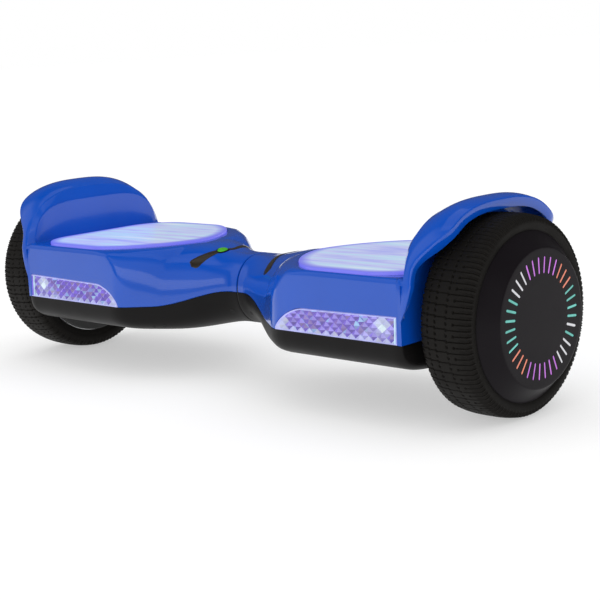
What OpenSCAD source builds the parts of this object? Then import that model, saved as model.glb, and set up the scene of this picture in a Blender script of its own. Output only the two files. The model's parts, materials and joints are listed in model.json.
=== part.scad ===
// Self balancing hoverboard: two footboards that tilt about a centre pivot, each on a hub-motor wheel.
// X runs along the axles, the headlamps face -Y, Z is up, and the origin is on the ground at the centre.

/* [Body] */
// Height of the wheel axles and the centre pivot above the ground
axle_h = 85; // [84:0.5:86]
// Half of the body's depth, front to back
half_d = 94; // [92:0.5:96]
// Height of the deck that carries the foot pads
deck_z = 126; // [124:0.5:128]
// Height of the underside below the foot pads
belly_z = 43.5; // [42:0.5:45]
// Height of the joint between upper and lower shell, outboard of the neck
seam_z = 72; // [70:0.5:74]
// Radius of the round neck at the centre pivot
neck_r = 33.5; // [33:0.25:35]
// Wall thickness of the plastic shells
wall = 2.8; // [2.4:0.1:3]
// How far the two halves may tilt against each other, each way, in degrees
tilt = 14; // [8:1:15]

/* [Foot pads] */
// Distance of the pads' pointed inner end from the centre
pad_x0 = 80.5; // [80:0.5:84]
// Distance of the pads' outer edge from the centre
pad_x1 = 245.5; // [240:0.5:246]
// Half of the pads' width, front to back
pad_half = 85.5; // [80:0.5:85.5]
// Travel of a pad when a foot presses it
pad_travel = 1.5; // [0.5:0.1:1.5]

/* [Headlamps] */
// Height of the lens at its inner end
lens_h = 21; // [18:0.5:22]
// Depth of the pocket that holds the lamp
lamp_depth = 9; // [8:0.5:10]

/* [Fenders] */
// Distance of the fender's wall from the centre
fender_x = 248; // [247:0.5:249]
// Distance of the fender's outer lip from the centre
fender_out = 287; // [280:1:290]
// Rise of the fender's crown above the axle
crown_h = 99.5; // [97:0.5:102]

/* [Wheels] */
// Tyre radius
tyre_r = 85; // [85:0.5:86]
// Inner and outer sidewall positions along the axle
tyre_x0 = 261.2; // [261:0.1:262]
tyre_x1 = 311; // [309:0.5:312]
// Face of the hub cover, which is the widest point of the vehicle
hub_x = 323; // [322:0.5:325]
// Number of light slots in each hub cover
hub_slots = 36; // [24:2:40]
// Number of stator teeth in each motor
teeth = 27; // [24:3:30]
// Number of magnets in each motor
poles = 30; // [28:2:32]
// Axle radius
axle_r = 8.5; // [8:0.1:9]

/* [Hidden] */
$fn = 96;

neck_gap = 0.8;          // each shell starts this far from the centre plane
arch_n = 2.8;            // roundness of the fender arch
well_x = fender_x + 3;   // wheel side of the wall between deck and wheel
pad_z = 125.2;           // underside of a foot pad at rest
recess_z = deck_z - 2.6; // floor of the recess under a pad
switch_z = 117.6;        // top of the switches that feel a foot

c_body = "royalblue";
c_belly = [0.07, 0.07, 0.08];
c_pad = [0.82, 0.84, 1];
c_lens = [0.78, 0.74, 1];
c_metal = [0.7, 0.71, 0.73];
c_steel = [0.55, 0.56, 0.58];
c_copper = [0.72, 0.4, 0.2];
c_rubber = [0.05, 0.05, 0.05];
c_board = [0.06, 0.3, 0.16];
c_glow = [0.6, 0.9, 1];
c_green = [0.4, 0.95, 0.15];

// ---- curves that shape the body, all as functions of the distance x from the centre ----

function clamp01(t) = max(0, min(1, t));
function ease(a, b, x) = let (t = clamp01((x - a) / (b - a))) t * t * (3 - 2 * t);
function mix(a, b, t) = a + (b - a) * t;
function soft_min(a, b, k) = let (h = clamp01(0.5 + 0.5 * (b - a) / k)) mix(b, a, h) - k * h * (1 - h);

// Quarter of a pointed oval, from 1 at u = 0 to 0 at u = 1
function oval(u) = pow(1 - pow(clamp01(u), 1.6), 0.625);

function depth_at(x) =
    soft_min(neck_r + (half_d - 34) * pow(clamp01((x - 8) / 97), 1.25) + 0.8 * max(0, x - 105), half_d, 7);
function seam_at(x) = mix(axle_h + 1, seam_z, ease(12, 80, x));
function top_at(x) = mix(axle_h + neck_r, deck_z, ease(15, 72, x));
function belly_at(x) = mix(axle_h - neck_r, belly_z, ease(12, 75, x));
function lean_at(x) = 2.5 * ease(95, 120, x);
function flat_at(x) = max(6, min(89 * oval((152 - x) / 80), depth_at(x) - lean_at(x) - 3.5));
function shoulder_z(x) = mix(seam_at(x) + 2, top_at(x) - 5, ease(92, 125, x));
function corner_n(x) = mix(2.0, 2.6, ease(30, 100, x));

// Top edge of the headlamp lens
function lens_top(x) = seam_z + (lens_h + 0.018 * max(0, x - 140)) * oval((140 - x) / 32);
function lamp_at(x) = lamp_depth * ease(106, 110, x);

// ---- upper shell: a closed wall profile for each column from front to back ----

deck_xs = [neck_gap, 9, 18, 28, 38, 48, 58, 67, 73, 78, pad_x0, 86, 94, 102, 106, 110, 116, 124, 134,
           152, 172, 204, 220, fender_x];
mid_n = 20;              // points from shoulder to shoulder
cols = mid_n + 6;        // with three points down each side
rows_deck = len(deck_xs);
fender_rows = 8;
rows_upper = 2 * rows_deck + 2 * fender_rows + 3;

// Recess for the foot pad: half width of its opening at x
function recess_at(x) = x < pad_x0 - 1 ? 0.9 * flat_at(x)
    : min(flat_at(x) - 1.5, (pad_half + 0.7) * oval((152 - x) / (152.8 - pad_x0)) + 1.5);
function sink_at(x) = (deck_z - recess_z) * ease(78, pad_x0, x);

// Side wall points at one column: heights and depths, front (pocket for the lamp) and back
function front_side(x, off) =
    let (z0 = seam_at(x), z1 = shoulder_z(x), p = lamp_at(x), d = depth_at(x))
    let (zl = p > 0.1 ? max(z0 + 1, lens_top(x) + 0.4) + off : mix(z0, z1, 0.4))
    let (edge = d - lean_at(x) * 0.4 - off, lift = p > 0.1 ? 0.4 : 0.3)
    [[-(d - p - off), z0], [-(d - p - off), zl], [-edge, zl + lift]];
function back_side(x, off) =
    let (z0 = seam_at(x), z1 = shoulder_z(x), d = depth_at(x), l = lean_at(x))
    [for (k = [2, 1, 0]) [d - l * k / 3 - off, mix(z0, z1, k / 3)]];

// Rounded shoulder from the side wall to the flat top
function shoulder(x, off, side) =
    let (e = mix(2 / corner_n(x), 1, ease(95, 125, x)), f = flat_at(x), zs = shoulder_z(x))
    let (s = depth_at(x) - lean_at(x) - off - f, h = top_at(x) - off - zs)
    [for (k = [0:5]) let (a = side > 0 ? 90 - 18 * k : 18 * k)
        [side * (f + s * pow(cos(a), e)), zs + h * pow(sin(a), e)]];

function deck_loop(x, off) =
    let (r = recess_at(x), z = top_at(x) - off, s = sink_at(x), q = min(12, 0.3 * r))
    let (w = off > 0 ? 0.5 * (flat_at(x) - r) : 0)
    let (half = [[-r - w, z], [-r - w + 0.3, z - s], [-mix(q, r, 0.5), z - s], [-q, z - s]])
    [for (p = concat(front_side(x, off), shoulder(x, off, -1), half,
                     [for (k = [3, 2, 1, 0]) [-half[k][0], half[k][1]]],
                     shoulder(x, off, 1), back_side(x, off))) [x, p[0], p[1]]];

// Fender arch: half depth a, rise b above the axle
function arch_y(z, a, b) = z <= axle_h ? a : a * pow(1 - pow((z - axle_h) / b, arch_n), 1 / arch_n);
function arch_loop(a, b, off) =
    let (x = fender_x, f = front_side(x, off), k = back_side(x, off), zs = shoulder_z(x))
    let (u0 = asin(pow((zs - axle_h) / b, arch_n / 2)))
    concat([f[0], f[1], [-arch_y(f[2][1], a, b), f[2][1]]],
           [for (j = [0:mid_n - 1]) let (u = mix(u0, 180 - u0, j / (mid_n - 1)))
               [-sign(cos(u)) * a * pow(abs(cos(u)), 2 / arch_n), axle_h + b * pow(sin(u), 2 / arch_n)]],
           [for (p = k) [arch_y(p[1], a, b), p[1]]]);

// The fender's outer edge sweeps inboard as it comes down at the front and the back
function edge_x(y, z) =
    let (top = mix(172, 160, ease(-20, 20, y)), t = clamp01((z - 100) / (top - 100)))
    well_x + 0.6 + (fender_out - well_x - 0.6) * pow(t, 1.8);
function crown_b(x) =
    x < 274 ? mix(90, crown_h, sin(90 * (x - fender_x) / (274 - fender_x)))
    : crown_h - 0.012 * pow(x - 274, 2);
function fender_row(k) =
    let (f = k / (fender_rows - 1), b = crown_b(mix(fender_x + 1, fender_out, f)))
    [for (p = arch_loop(half_d - 0.5, b, 0)) [mix(fender_x + 1, edge_x(p[0], p[1]), f), p[0], p[1]]];
function lip_row() =
    [for (p = arch_loop(half_d - 0.5, crown_b(fender_out), 0))
        let (e = edge_x(p[0], p[1]), s = (e - well_x) / (fender_out - well_x))
        let (r = norm([p[0], p[1] - axle_h]), q = (r - 4.5 - 4.5 * s) / r)
        [e, p[0] * q, p[1] < 100 ? p[1] : axle_h + (p[1] - axle_h) * q]];
function under_row(k) =
    let (f = k / (fender_rows - 1), b = crown_b(mix(fender_x + 1, fender_out, f)) - 3)
    let (lip = arch_loop(half_d - 0.5, crown_b(fender_out), 0))
    [for (j = [0:cols - 1]) let (p = arch_loop(half_d - 3.5, b, 3)[j])
        [mix(well_x, edge_x(lip[j][0], lip[j][1]), 0.9 * f), p[0], p[1]]];

// U-shaped notch that lets the shell drop over the axle
function notch_row(x, r) =
    concat([for (k = [0:2]) [x, -r, mix(seam_z, axle_h - 2, k / 2)]],
           [for (j = [0:mid_n - 1]) let (u = 180 * j / (mid_n - 1)) [x, -r * cos(u), axle_h + r * sin(u)]],
           [for (k = [2, 1, 0]) [x, r, mix(seam_z, axle_h - 2, k / 2)]]);

// Faces of a wall swept over columns. outer and inner rows pair up as i and last - i.
function quad(a, b, c, d) = [[a, b, c], [a, c, d]];
function flat1(v) = [for (a = v) for (b = a) b];
function skin_faces(rows, n, skip) =
    flat1([for (i = [0:rows - 1]) for (j = [0:n - 2])
        let (h = (i + 1) % rows)
        if (len([for (s = skip) if ((s[0] == i || rows - 2 - s[0] == i) && s[1] == j) 1]) == 0)
            quad(i * n + j, i * n + j + 1, h * n + j + 1, h * n + j)]);
function window_faces(rows, n, skip) =
    flat1([for (s = skip)
        let (i = s[0], j = s[1], m = rows - 1 - i)
        let (o = [i * n + j, i * n + j + 1, (i + 1) * n + j + 1, (i + 1) * n + j])
        let (q = [m * n + j, m * n + j + 1, (m - 1) * n + j + 1, (m - 1) * n + j])
        flat1([for (k = [0:3]) let (l = (k + 1) % 4) quad(o[k], o[l], q[l], q[k])])]);

module solid_wall(rows, caps, skip) {
    n = len(rows[0]);
    ladder = flat1([for (c = caps) for (end = [0, n - 1])
        let (f = [for (r = c) r * n + end])
        end == 0 ? quad(f[0], f[1], f[2], f[3]) : quad(f[3], f[2], f[1], f[0])]);
    faces = concat(skin_faces(len(rows), n, skip), window_faces(len(rows), n, skip), ladder);
    solid = [for (f = faces) if (f[0] != f[1] && f[1] != f[2] && f[2] != f[0]) f];
    polyhedron(points = flat1(rows), faces = solid, convexity = 8);
}

module upper_shell() {
    r = rows_deck;
    u = r + 2 * fender_rows; // the last row under the fender
    n = rows_upper;
    rows = concat(
        [for (x = deck_xs) deck_loop(x, 0)],
        [for (k = [0:fender_rows - 1]) fender_row(k)],
        [lip_row()],
        [for (k = [fender_rows - 1:-1:0]) under_row(k)],
        [notch_row(well_x, 13), notch_row(fender_x, 13)],
        [for (k = [r - 1:-1:0]) deck_loop(deck_xs[k], wall)]);
    caps = concat(
        [for (i = [0:r - 2]) [i, i + 1, n - 2 - i, n - 1 - i]],
        [for (k = [0:fender_rows - 2]) [r + k, r + k + 1, u - 1 - k, u - k]],
        [[r + fender_rows - 1, r + fender_rows, r + fender_rows + 1, r + fender_rows + 1],
         [r - 1, r, u, u + 3],
         [u, u + 1, u + 2, u + 3]]);
    // windows: two for the pad's plungers and one in the back wall
    solid_wall(rows, caps, [[17, 12], [21, 12], [19, 23]]);
}

// ---- lower shell ----

belly_xs = [neck_gap, 9, 18, 28, 38, 48, 58, 67, 78, 90, 102, 110, 124, 160, 205, well_x];
belly_n = 21;
function belly_loop(x, off) =
    let (d = depth_at(x) - off, z0 = seam_at(x) - 0.15, h = seam_at(x) - belly_at(x) - off)
    let (e = 2 / mix(2.0, 3.4, ease(15, 90, x)))
    [for (j = [0:belly_n - 1]) let (u = 180 * j / (belly_n - 1))
        [x, sign(cos(u)) * d * pow(abs(cos(u)), e), z0 - h * pow(sin(u), e)]];
// Top edge of the wall beside the wheel, which dips a little between its two ends
function belly_top(x) =
    [for (j = [0:belly_n - 1]) let (u = 180 * j / (belly_n - 1))
        [x, (half_d - 4) * cos(u), seam_z - 0.15 - sqrt(sin(u))]];

module lower_shell() {
    r = len(belly_xs);
    n = 2 * r + 2;
    rows = concat([for (x = belly_xs) belly_loop(x, 0)], [belly_top(well_x), belly_top(fender_x)],
                  [for (k = [r - 1:-1:0]) belly_loop(min(belly_xs[k], fender_x), wall)]);
    caps = concat([for (i = [0:r - 2]) [i, i + 1, n - 2 - i, n - 1 - i]], [[r - 1, r, r + 1, r + 2]]);
    solid_wall(rows, caps, []);
}

// ---- small helpers ----

module left() { mirror([1, 0, 0]) children(); }
// Children drawn along Z end up along the axle, with z = 0 at the centre plane
module on_axle() { translate([0, 0, axle_h]) rotate([0, 90, 0]) children(); }
module rod(x0, x1, r) { on_axle() translate([0, 0, x0]) cylinder(r = r, h = x1 - x0); }
module ring(x0, x1, r_in, r_out) {
    on_axle() translate([0, 0, x0]) difference() {
        cylinder(r = r_out, h = x1 - x0);
        translate([0, 0, -1]) cylinder(r = r_in, h = x1 - x0 + 2);
    }
}
module block(lo, hi) { translate(lo) cube(hi - lo); }
module front_rod(x, z, y0, y1, r) { translate([x, y1, z]) rotate([90, 0, 0]) cylinder(r = r, h = y1 - y0); }

// ---- foot pad: a pointed oval whose outer corners are rounded ----

pad_corner = 42;
function pad_half_at(x, inset) = (pad_half - inset) * oval((152 - x) / (152 - pad_x0 - inset));
function pad_side(inset) =
    concat([for (k = [1:9]) let (x = pad_x0 + inset + (152 - pad_x0 - inset) * pow(k / 9, 1.5))
               [x, pad_half_at(x, inset)]],
           [for (a = [90:-15:0]) let (c = pad_corner - inset)
               [pad_x1 - inset - c + c * cos(a), pad_half - inset - c + c * sin(a)]]);
function pad_outline(inset) =
    let (s = pad_side(inset))
    concat([[pad_x0 + inset, 0]], s, [for (k = [len(s) - 1:-1:0]) [s[k][0], -s[k][1]]]);

slot_xs = [129, 212];    // the pad's plungers stand at these distances from the centre
module foot_pad() {
    difference() {
        translate([0, 0, pad_z]) linear_extrude(3.1) polygon(pad_outline(0));
        translate([0, 0, pad_z - 1]) linear_extrude(2.4) difference() {
            polygon(pad_outline(5));
            polygon(pad_outline(11));
        }
    }
}
module pad_light() {
    translate([0, 0, pad_z + 0.2]) linear_extrude(1) difference() {
        polygon(pad_outline(6));
        polygon(pad_outline(10));
    }
}
module pad_plungers() {
    for (x = slot_xs) block([x - 3, -9, switch_z + pad_travel + 0.5], [x + 3, 9, pad_z]);
}
board_z = 108.2;         // underside of the switch board
module switch_board() {
    block([98, -56, board_z], [220, 56, board_z + 1.6]);
    for (x = slot_xs) block([x - 5, -7, board_z + 1.6], [x + 5, 7, switch_z]);
}

// ---- headlamp ----

lens_xs = [for (k = [0:12]) 108.6 + 31 * k / 12];
lens_end = 248.5;
lens_face = half_d;      // depth of the lens's front face
module headlamp_lens() {
    rise = [for (x = lens_xs) [x, max(seam_z + 0.8, lens_top(x) - 0.3)]];
    difference() {
        translate([0, -lens_face + 6.5, 0]) rotate([90, 0, 0]) linear_extrude(6.5)
            polygon(concat([[lens_xs[0], seam_z + 0.2]], rise,
                           [[lens_end, lens_top(lens_end) - 0.3], [lens_end, seam_z + 0.2]]));
        block([122, -lens_face + 3, seam_z + 2.5], [245, -lens_face + 8, seam_z + 15]);
    }
}
module headlamp_board() {
    block([123, -86.6, seam_z + 2.9], [244, -85.2, seam_z + 14.6]);
    for (k = [0:9]) block([129 + 12 * k - 2.5, -88.2, seam_z + 6], [129 + 12 * k + 2.5, -86.6, seam_z + 11]);
}

// ---- chassis ----

clamp_xs = [219, 238];   // screws of the axle clamp
clamp_ys = [-16, 16];

// Stop lug on the end of a frame's pivot barrel, turned by an angle about the pivot
module stop_lug(angle) {
    translate([0, 0, axle_h]) rotate([angle, 0, 0]) block([-5, -4, 17], [8.5, 4, 23]);
}
module frame(bore, lugs) {
    difference() {
        union() {
            for (a = lugs) stop_lug(a);
            translate([0, 0, 52]) linear_extrude(4)
                polygon([[66, -26], [66, 26], [112, 58], [245, 58], [245, -58], [112, -58]]);
            rod(8, 72, 24);
            block([56, -20, 54], [92, 20, 72]);
            block([212, -22, 54], [245, 22, axle_h - 0.2]);
            for (y = [-50, 50]) block([110, y - 2, 55], [240, y + 2, 62]);
            for (x = [104, 207], s = [-1, 1]) translate([x, 46 * s, 55]) cylinder(r = 4, h = board_z - 55);
        }
        rod(0, 80, bore);
        rod(205, 250, axle_r + 0.02);
        for (x = clamp_xs, y = clamp_ys) translate([x, y, 58]) cylinder(r = 2.55, h = 60);
    }
}
module axle_clamp() {
    difference() {
        block([212, -22, axle_h + 0.2], [245, 22, 99]);
        rod(205, 250, axle_r + 0.02);
        for (x = clamp_xs, y = clamp_ys) translate([x, y, 58]) cylinder(r = 2.55, h = 60);
    }
}
module clamp_screws() {
    for (x = clamp_xs, y = clamp_ys) translate([x, y, 0]) {
        translate([0, 0, 62]) cylinder(r = 2.5, h = 37.5);
        translate([0, 0, 99]) difference() {
            cylinder(r = 4.2, h = 5);
            translate([0, 0, 2]) cylinder(r = 2.3, h = 4, $fn = 6);
        }
    }
}
module axle() {
    difference() {
        union() {
            rod(206, 313, axle_r);
            rod(251.6, 254.6, 11);
        }
        rod(200, 268, 3);
    }
}

// ---- hub motor and wheel ----

stator_x0 = 274;
stator_x1 = 296;
air_r = 56.2;            // outer reach of the stator teeth
module stator() {
    on_axle() translate([0, 0, stator_x0]) linear_extrude(stator_x1 - stator_x0) difference() {
        union() {
            difference() {
                circle(r = 38);
                circle(r = 31);
            }
            circle(r = 14);
            for (a = [0:60:300]) rotate(a) translate([12, -3]) square([22, 6]);
            for (k = [0:teeth - 1]) rotate(k * 360 / teeth) {
                translate([36, -1.9]) square([18.5, 3.8]);
                translate([53.6, -5]) square([2.2, 10]);
            }
        }
        circle(r = axle_r + 0.02);
    }
}
module windings() {
    height = stator_x1 - stator_x0;
    for (k = [0:teeth - 1]) on_axle() rotate(k * 360 / teeth) translate([40, 0, stator_x0 - 3]) difference() {
        translate([0, -4.1, 0]) cube([12.6, 8.2, height + 6]);
        translate([-1, -1.95, 2.95]) cube([20, 3.9, height + 0.1]);
    }
}
module magnets() {
    for (k = [0:poles - 1]) on_axle() rotate(k * 360 / poles)
        translate([57.2, -5.3, stator_x0 - 2]) cube([2.4, 10.6, stator_x1 - stator_x0 + 4]);
}
// Profiles turn about the axle: first number radius, second distance from the centre
module turned(points) { on_axle() rotate_extrude() polygon(points); }
seat_r = 66;             // the tyre sits on the rim at this radius
bearing_r = 17.5;
module wheel_rim() {
    turned([[bearing_r, 299], [22, 299], [22, 302.5], [60, 302.5], [60, 263.2], [seat_r, 263.2],
            [seat_r, 308], [62, 308], [60, 306.5], [22, 306.5], [22, 309.5], [bearing_r, 309.5]]);
}
module motor_cover() {
    turned([[bearing_r, 255.6], [22, 255.6], [24, 259.4], [64, 259.4], [65.4, 260.4], [65.4, 263.1],
            [59.8, 263.1], [59.8, 264.5], [57, 264.5], [57, 263.1], [22, 263.1], [22, 266],
            [bearing_r, 266]]);
}
module bearings() {
    for (x = [256, 299.5]) turned([
        [axle_r + 0.05, x], [11.4, x], [11.7, x + 0.5], [14.6, x + 0.5], [14.9, x], [bearing_r - 0.02, x],
        [bearing_r - 0.02, x + 9.8], [14.9, x + 9.8], [14.6, x + 9.3], [11.7, x + 9.3], [11.4, x + 9.8],
        [axle_r + 0.05, x + 9.8]]);
}
// Half of the tyre's section, from the bead up one sidewall to the flat tread
function tyre_side(x, s) = [[seat_r + 0.02, x + 3.6 * s], [71, x + 1.4 * s], [74.5, x + 0.2 * s], [78, x],
    [80.6, x + 0.6 * s], [82.6, x + 2.6 * s], [84, x + 6.4 * s], [tyre_r, x + 12 * s]];
module tyre() {
    a = tyre_side(tyre_x0, 1);
    b = tyre_side(tyre_x1, -1);
    turned(concat(a, [for (k = [len(b) - 1:-1:0]) b[k]]));
}
cover_t = 2.3;           // thickness of the hub cover
slot_r0 = 36.7;          // light slots run between these radii
slot_r1 = 50.7;
slot_w = 2.3;
module hub_cover() {
    difference() {
        turned([[0, hub_x - cover_t], [56.6, hub_x - cover_t], [67.6, 310.6], [68.4, 308.9], [71.4, 310.1],
                [71.6, 310.5], [70.8, 311.2], [59.4, 322], [57.8, hub_x], [0, hub_x]]);
        for (k = [0:hub_slots - 1]) on_axle() rotate(k * 360 / hub_slots + 7)
            translate([slot_r0, -slot_w / 2, hub_x - cover_t - 1])
                cube([slot_r1 - slot_r0, slot_w, cover_t + 2]);
    }
}
module hub_light() {
    ring(316.8, hub_x - cover_t - 0.2, 34.5, 53);
    for (k = [0:hub_slots - 1]) on_axle() rotate(k * 360 / hub_slots + 7)
        translate([slot_r0 + 0.1, 0.1 - slot_w / 2, hub_x - cover_t - 0.3])
            cube([slot_r1 - slot_r0 - 0.2, slot_w - 0.2, cover_t]);
}

// ---- centre pivot ----

tube_r = 16;             // the tube is fixed in the right frame and turns in the left one's bushes
bush_r = 20;
clip_xs = [-75.4, -7.6]; // circlips in grooves of the tube
module pivot_tube() {
    color(c_steel) difference() {
        ring(-78, 76, 12.5, tube_r);
        for (x = clip_xs) ring(x - 0.05, x + 1.45, tube_r - 0.65, tube_r + 1);
    }
}
module pivot_bushes() { color(c_copper) for (x = [-26, -72]) ring(x, x + 18, tube_r + 0.05, bush_r - 0.02); }
module pivot_circlips() { color(c_steel) for (x = clip_xs) ring(x, x + 1.4, tube_r - 0.6, bush_r - 0.6); }
module neck_seal() {
    color(c_rubber) turned([[27.5, -0.4], [neck_r - 0.6, -0.4], [neck_r - 0.6, 0.4],
                            [neck_r - wall - 0.3, 0.4], [neck_r - wall - 0.3, 5], [27.5, 5]]);
}
module link_cable() { color(c_rubber) rod(-96, 96, 5); }

// ---- electrics ----

module battery_pack() { color(c_belly) left() block([116, -44, 63], [202, 44, 103]); }
module main_board() { color(c_board) block([114, -46, 66], [203, 44, 67.6]); }
module heatsink() {
    color(c_metal) {
        block([120, -40, 67.7], [190, 40, 71]);
        for (k = [0:9]) block([122 + 7 * k, -40, 70.5], [124.5 + 7 * k, 40, 84]);
    }
}
port_x = 162;            // charge inlet on the left half, power button on the right
port_z = 96.5;
port_y = 92;             // depth of the bezels' outer faces
inlet_r = 6;
module port_block(y0) { block([port_x - 9.6, y0, port_z - 7.7], [port_x + 9.6, port_y, port_z + 7.7]); }
module charge_inlet() {
    color(c_belly) left() difference() {
        port_block(78);
        front_rod(port_x, port_z, port_y - 10, port_y + 1, inlet_r);
    }
}
module charge_cap() {
    color(c_rubber) left() {
        front_rod(port_x, port_z, port_y + 0.3, port_y + 1.5, 7.4);
        front_rod(port_x, port_z, port_y - 2.1, port_y + 0.4, 5.1);
    }
}
module button_bezel() {
    color(c_belly) difference() {
        port_block(84);
        front_rod(port_x, port_z, 83, port_y + 1, 6.5);
    }
}
module power_button() {
    color(c_body) {
        front_rod(port_x, port_z, 83, port_y + 1.2, 6.1);
        front_rod(port_x, port_z, 82, 83.6, 8);
    }
}

// ---- trim on the necks ----

// Height of the upper shell's outer surface
function roof_z(x, y) =
    let (f = flat_at(x), zs = shoulder_z(x), e = mix(2 / corner_n(x), 1, ease(95, 125, x)))
    let (s = depth_at(x) - lean_at(x) - f, q = max(0, abs(y) - f) / s)
    zs + (top_at(x) - zs) * pow(sin(acos(min(1, pow(q, 1 / e)))), e);
// A strip that lies on the shell along a line of points, each [x, y, half width]
module inlay(line, t) {
    n = len(line);
    pts = [for (p = line) each [for (h = [0.15, t]) for (s = [-1, 1])
        let (x = p[0] + s * p[2]) [x, p[1], roof_z(x, p[1]) + h]]];
    polyhedron(points = pts, faces = concat([[0, 1, 3, 2]],
        flat1([for (i = [0:n - 2]) let (a = 4 * i, b = 4 * i + 4)
            concat(quad(a + 2, a + 3, b + 3, b + 2), quad(a + 1, a, b, b + 1), quad(a, a + 2, b + 2, b),
                   quad(a + 3, a + 1, b + 1, b + 3))]),
        [[4 * n - 4, 4 * n - 2, 4 * n - 1, 4 * n - 3]]));
}
// An arrow over the neck: two arms that meet on top and point at the centre
arrow_tip = 36;
arrow_half = 41;
function arrow_x(t) = arrow_tip + 15 * pow(abs(t), 1.2);
module arrow() {
    inlay([for (k = [-8:8]) let (t = k / 8) [arrow_x(t), arrow_half * t, 2.6 + 2.2 * abs(t)]], 0.7);
}
lamp_y = 12;             // the status lamp sits on the left arrow's front arm
module status_lens() {
    x = arrow_x(lamp_y / arrow_half);
    slope_y = (roof_z(x, lamp_y - 1) - roof_z(x, lamp_y + 1)) / 2;
    slope_x = (roof_z(x + 1, lamp_y) - roof_z(x - 1, lamp_y)) / 2;
    color(c_green) translate([-x, -lamp_y, roof_z(x, lamp_y) + 0.95])
        rotate([atan(slope_y), atan(slope_x), 0]) cylinder(r = 4.2, h = 1);
}
module case_screws() {
    for (x = [118, 176, 232], s = [-1, 1]) translate([x, 34 * s, belly_z - 1.05]) difference() {
        cylinder(r = 3.6, h = 1);
        translate([0, 0, -0.5]) cylinder(r = 1.6, h = 1.1, $fn = 6);
    }
}

// ---- the nodes ----

module right_upper_shell() { color(c_body) upper_shell(); }
module left_upper_shell() { color(c_body) left() upper_shell(); }
module right_lower_shell() { color(c_belly) lower_shell(); }
module left_lower_shell() { color(c_belly) left() lower_shell(); }
module right_foot_pad() { color(c_pad) foot_pad(); }
module left_foot_pad() { color(c_pad) left() foot_pad(); }
module right_pad_plungers() { color(c_rubber) pad_plungers(); }
module left_pad_plungers() { color(c_rubber) left() pad_plungers(); }
module right_pad_light() { color(c_glow) pad_light(); }
module left_pad_light() { color(c_glow) left() pad_light(); }
module right_switch_board() { color(c_board) switch_board(); }
module left_switch_board() { color(c_board) left() switch_board(); }
module right_headlamp_lens() { color(c_lens) headlamp_lens(); }
module left_headlamp_lens() { color(c_lens) left() headlamp_lens(); }
module right_headlamp_board() { color(c_board) headlamp_board(); }
module left_headlamp_board() { color(c_board) left() headlamp_board(); }
module right_frame() { color(c_metal) frame(tube_r + 0.02, [0]); }
module left_frame() {
    a = 2 * atan(4 / 17) + tilt + 0.5;
    color(c_metal) left() frame(bush_r, [-a, a]);
}
module right_axle() { color(c_steel) axle(); }
module left_axle() { color(c_steel) left() axle(); }
module right_axle_clamp() { color(c_metal) axle_clamp(); }
module left_axle_clamp() { color(c_metal) left() axle_clamp(); }
module right_clamp_screws() { color(c_steel) clamp_screws(); }
module left_clamp_screws() { color(c_steel) left() clamp_screws(); }
module right_stator() { color(c_steel) stator(); }
module left_stator() { color(c_steel) left() stator(); }
module right_windings() { color(c_copper) windings(); }
module left_windings() { color(c_copper) left() windings(); }
module right_wheel_rim() { color(c_metal) wheel_rim(); }
module left_wheel_rim() { color(c_metal) left() wheel_rim(); }
module right_magnets() { color(c_steel) magnets(); }
module left_magnets() { color(c_steel) left() magnets(); }
module right_motor_cover() { color(c_belly) motor_cover(); }
module left_motor_cover() { color(c_belly) left() motor_cover(); }
module right_bearings() { color(c_steel) bearings(); }
module left_bearings() { color(c_steel) left() bearings(); }
module right_tyre() { color(c_rubber) tyre(); }
module left_tyre() { color(c_rubber) left() tyre(); }
module right_hub_cover() { color(c_belly) hub_cover(); }
module left_hub_cover() { color(c_belly) left() hub_cover(); }
module right_hub_light() { color(c_glow) hub_light(); }
module left_hub_light() { color(c_glow) left() hub_light(); }
module right_case_screws() { color(c_steel) case_screws(); }
module left_case_screws() { color(c_steel) left() case_screws(); }
module left_arrow() { color(c_belly) left() arrow(); }
module right_arrow() { color(c_belly) arrow(); }

right_upper_shell();
left_upper_shell();
right_lower_shell();
left_lower_shell();
right_foot_pad();
left_foot_pad();
right_pad_plungers();
left_pad_plungers();
right_pad_light();
left_pad_light();
right_switch_board();
left_switch_board();
right_headlamp_lens();
left_headlamp_lens();
right_headlamp_board();
left_headlamp_board();
right_frame();
left_frame();
right_axle();
left_axle();
right_axle_clamp();
left_axle_clamp();
right_clamp_screws();
left_clamp_screws();
right_stator();
left_stator();
right_windings();
left_windings();
right_wheel_rim();
left_wheel_rim();
right_magnets();
left_magnets();
right_motor_cover();
left_motor_cover();
right_bearings();
left_bearings();
right_tyre();
left_tyre();
right_hub_cover();
left_hub_cover();
right_hub_light();
left_hub_light();
right_case_screws();
left_case_screws();
pivot_tube();
pivot_bushes();
pivot_circlips();
neck_seal();
link_cable();
battery_pack();
main_board();
heatsink();
charge_inlet();
charge_cap();
power_button();
button_bezel();
left_arrow();
right_arrow();
status_lens();
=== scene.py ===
import json
import math

import bmesh
import bpy
import numpy as np
from mathutils import Matrix, Vector


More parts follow.
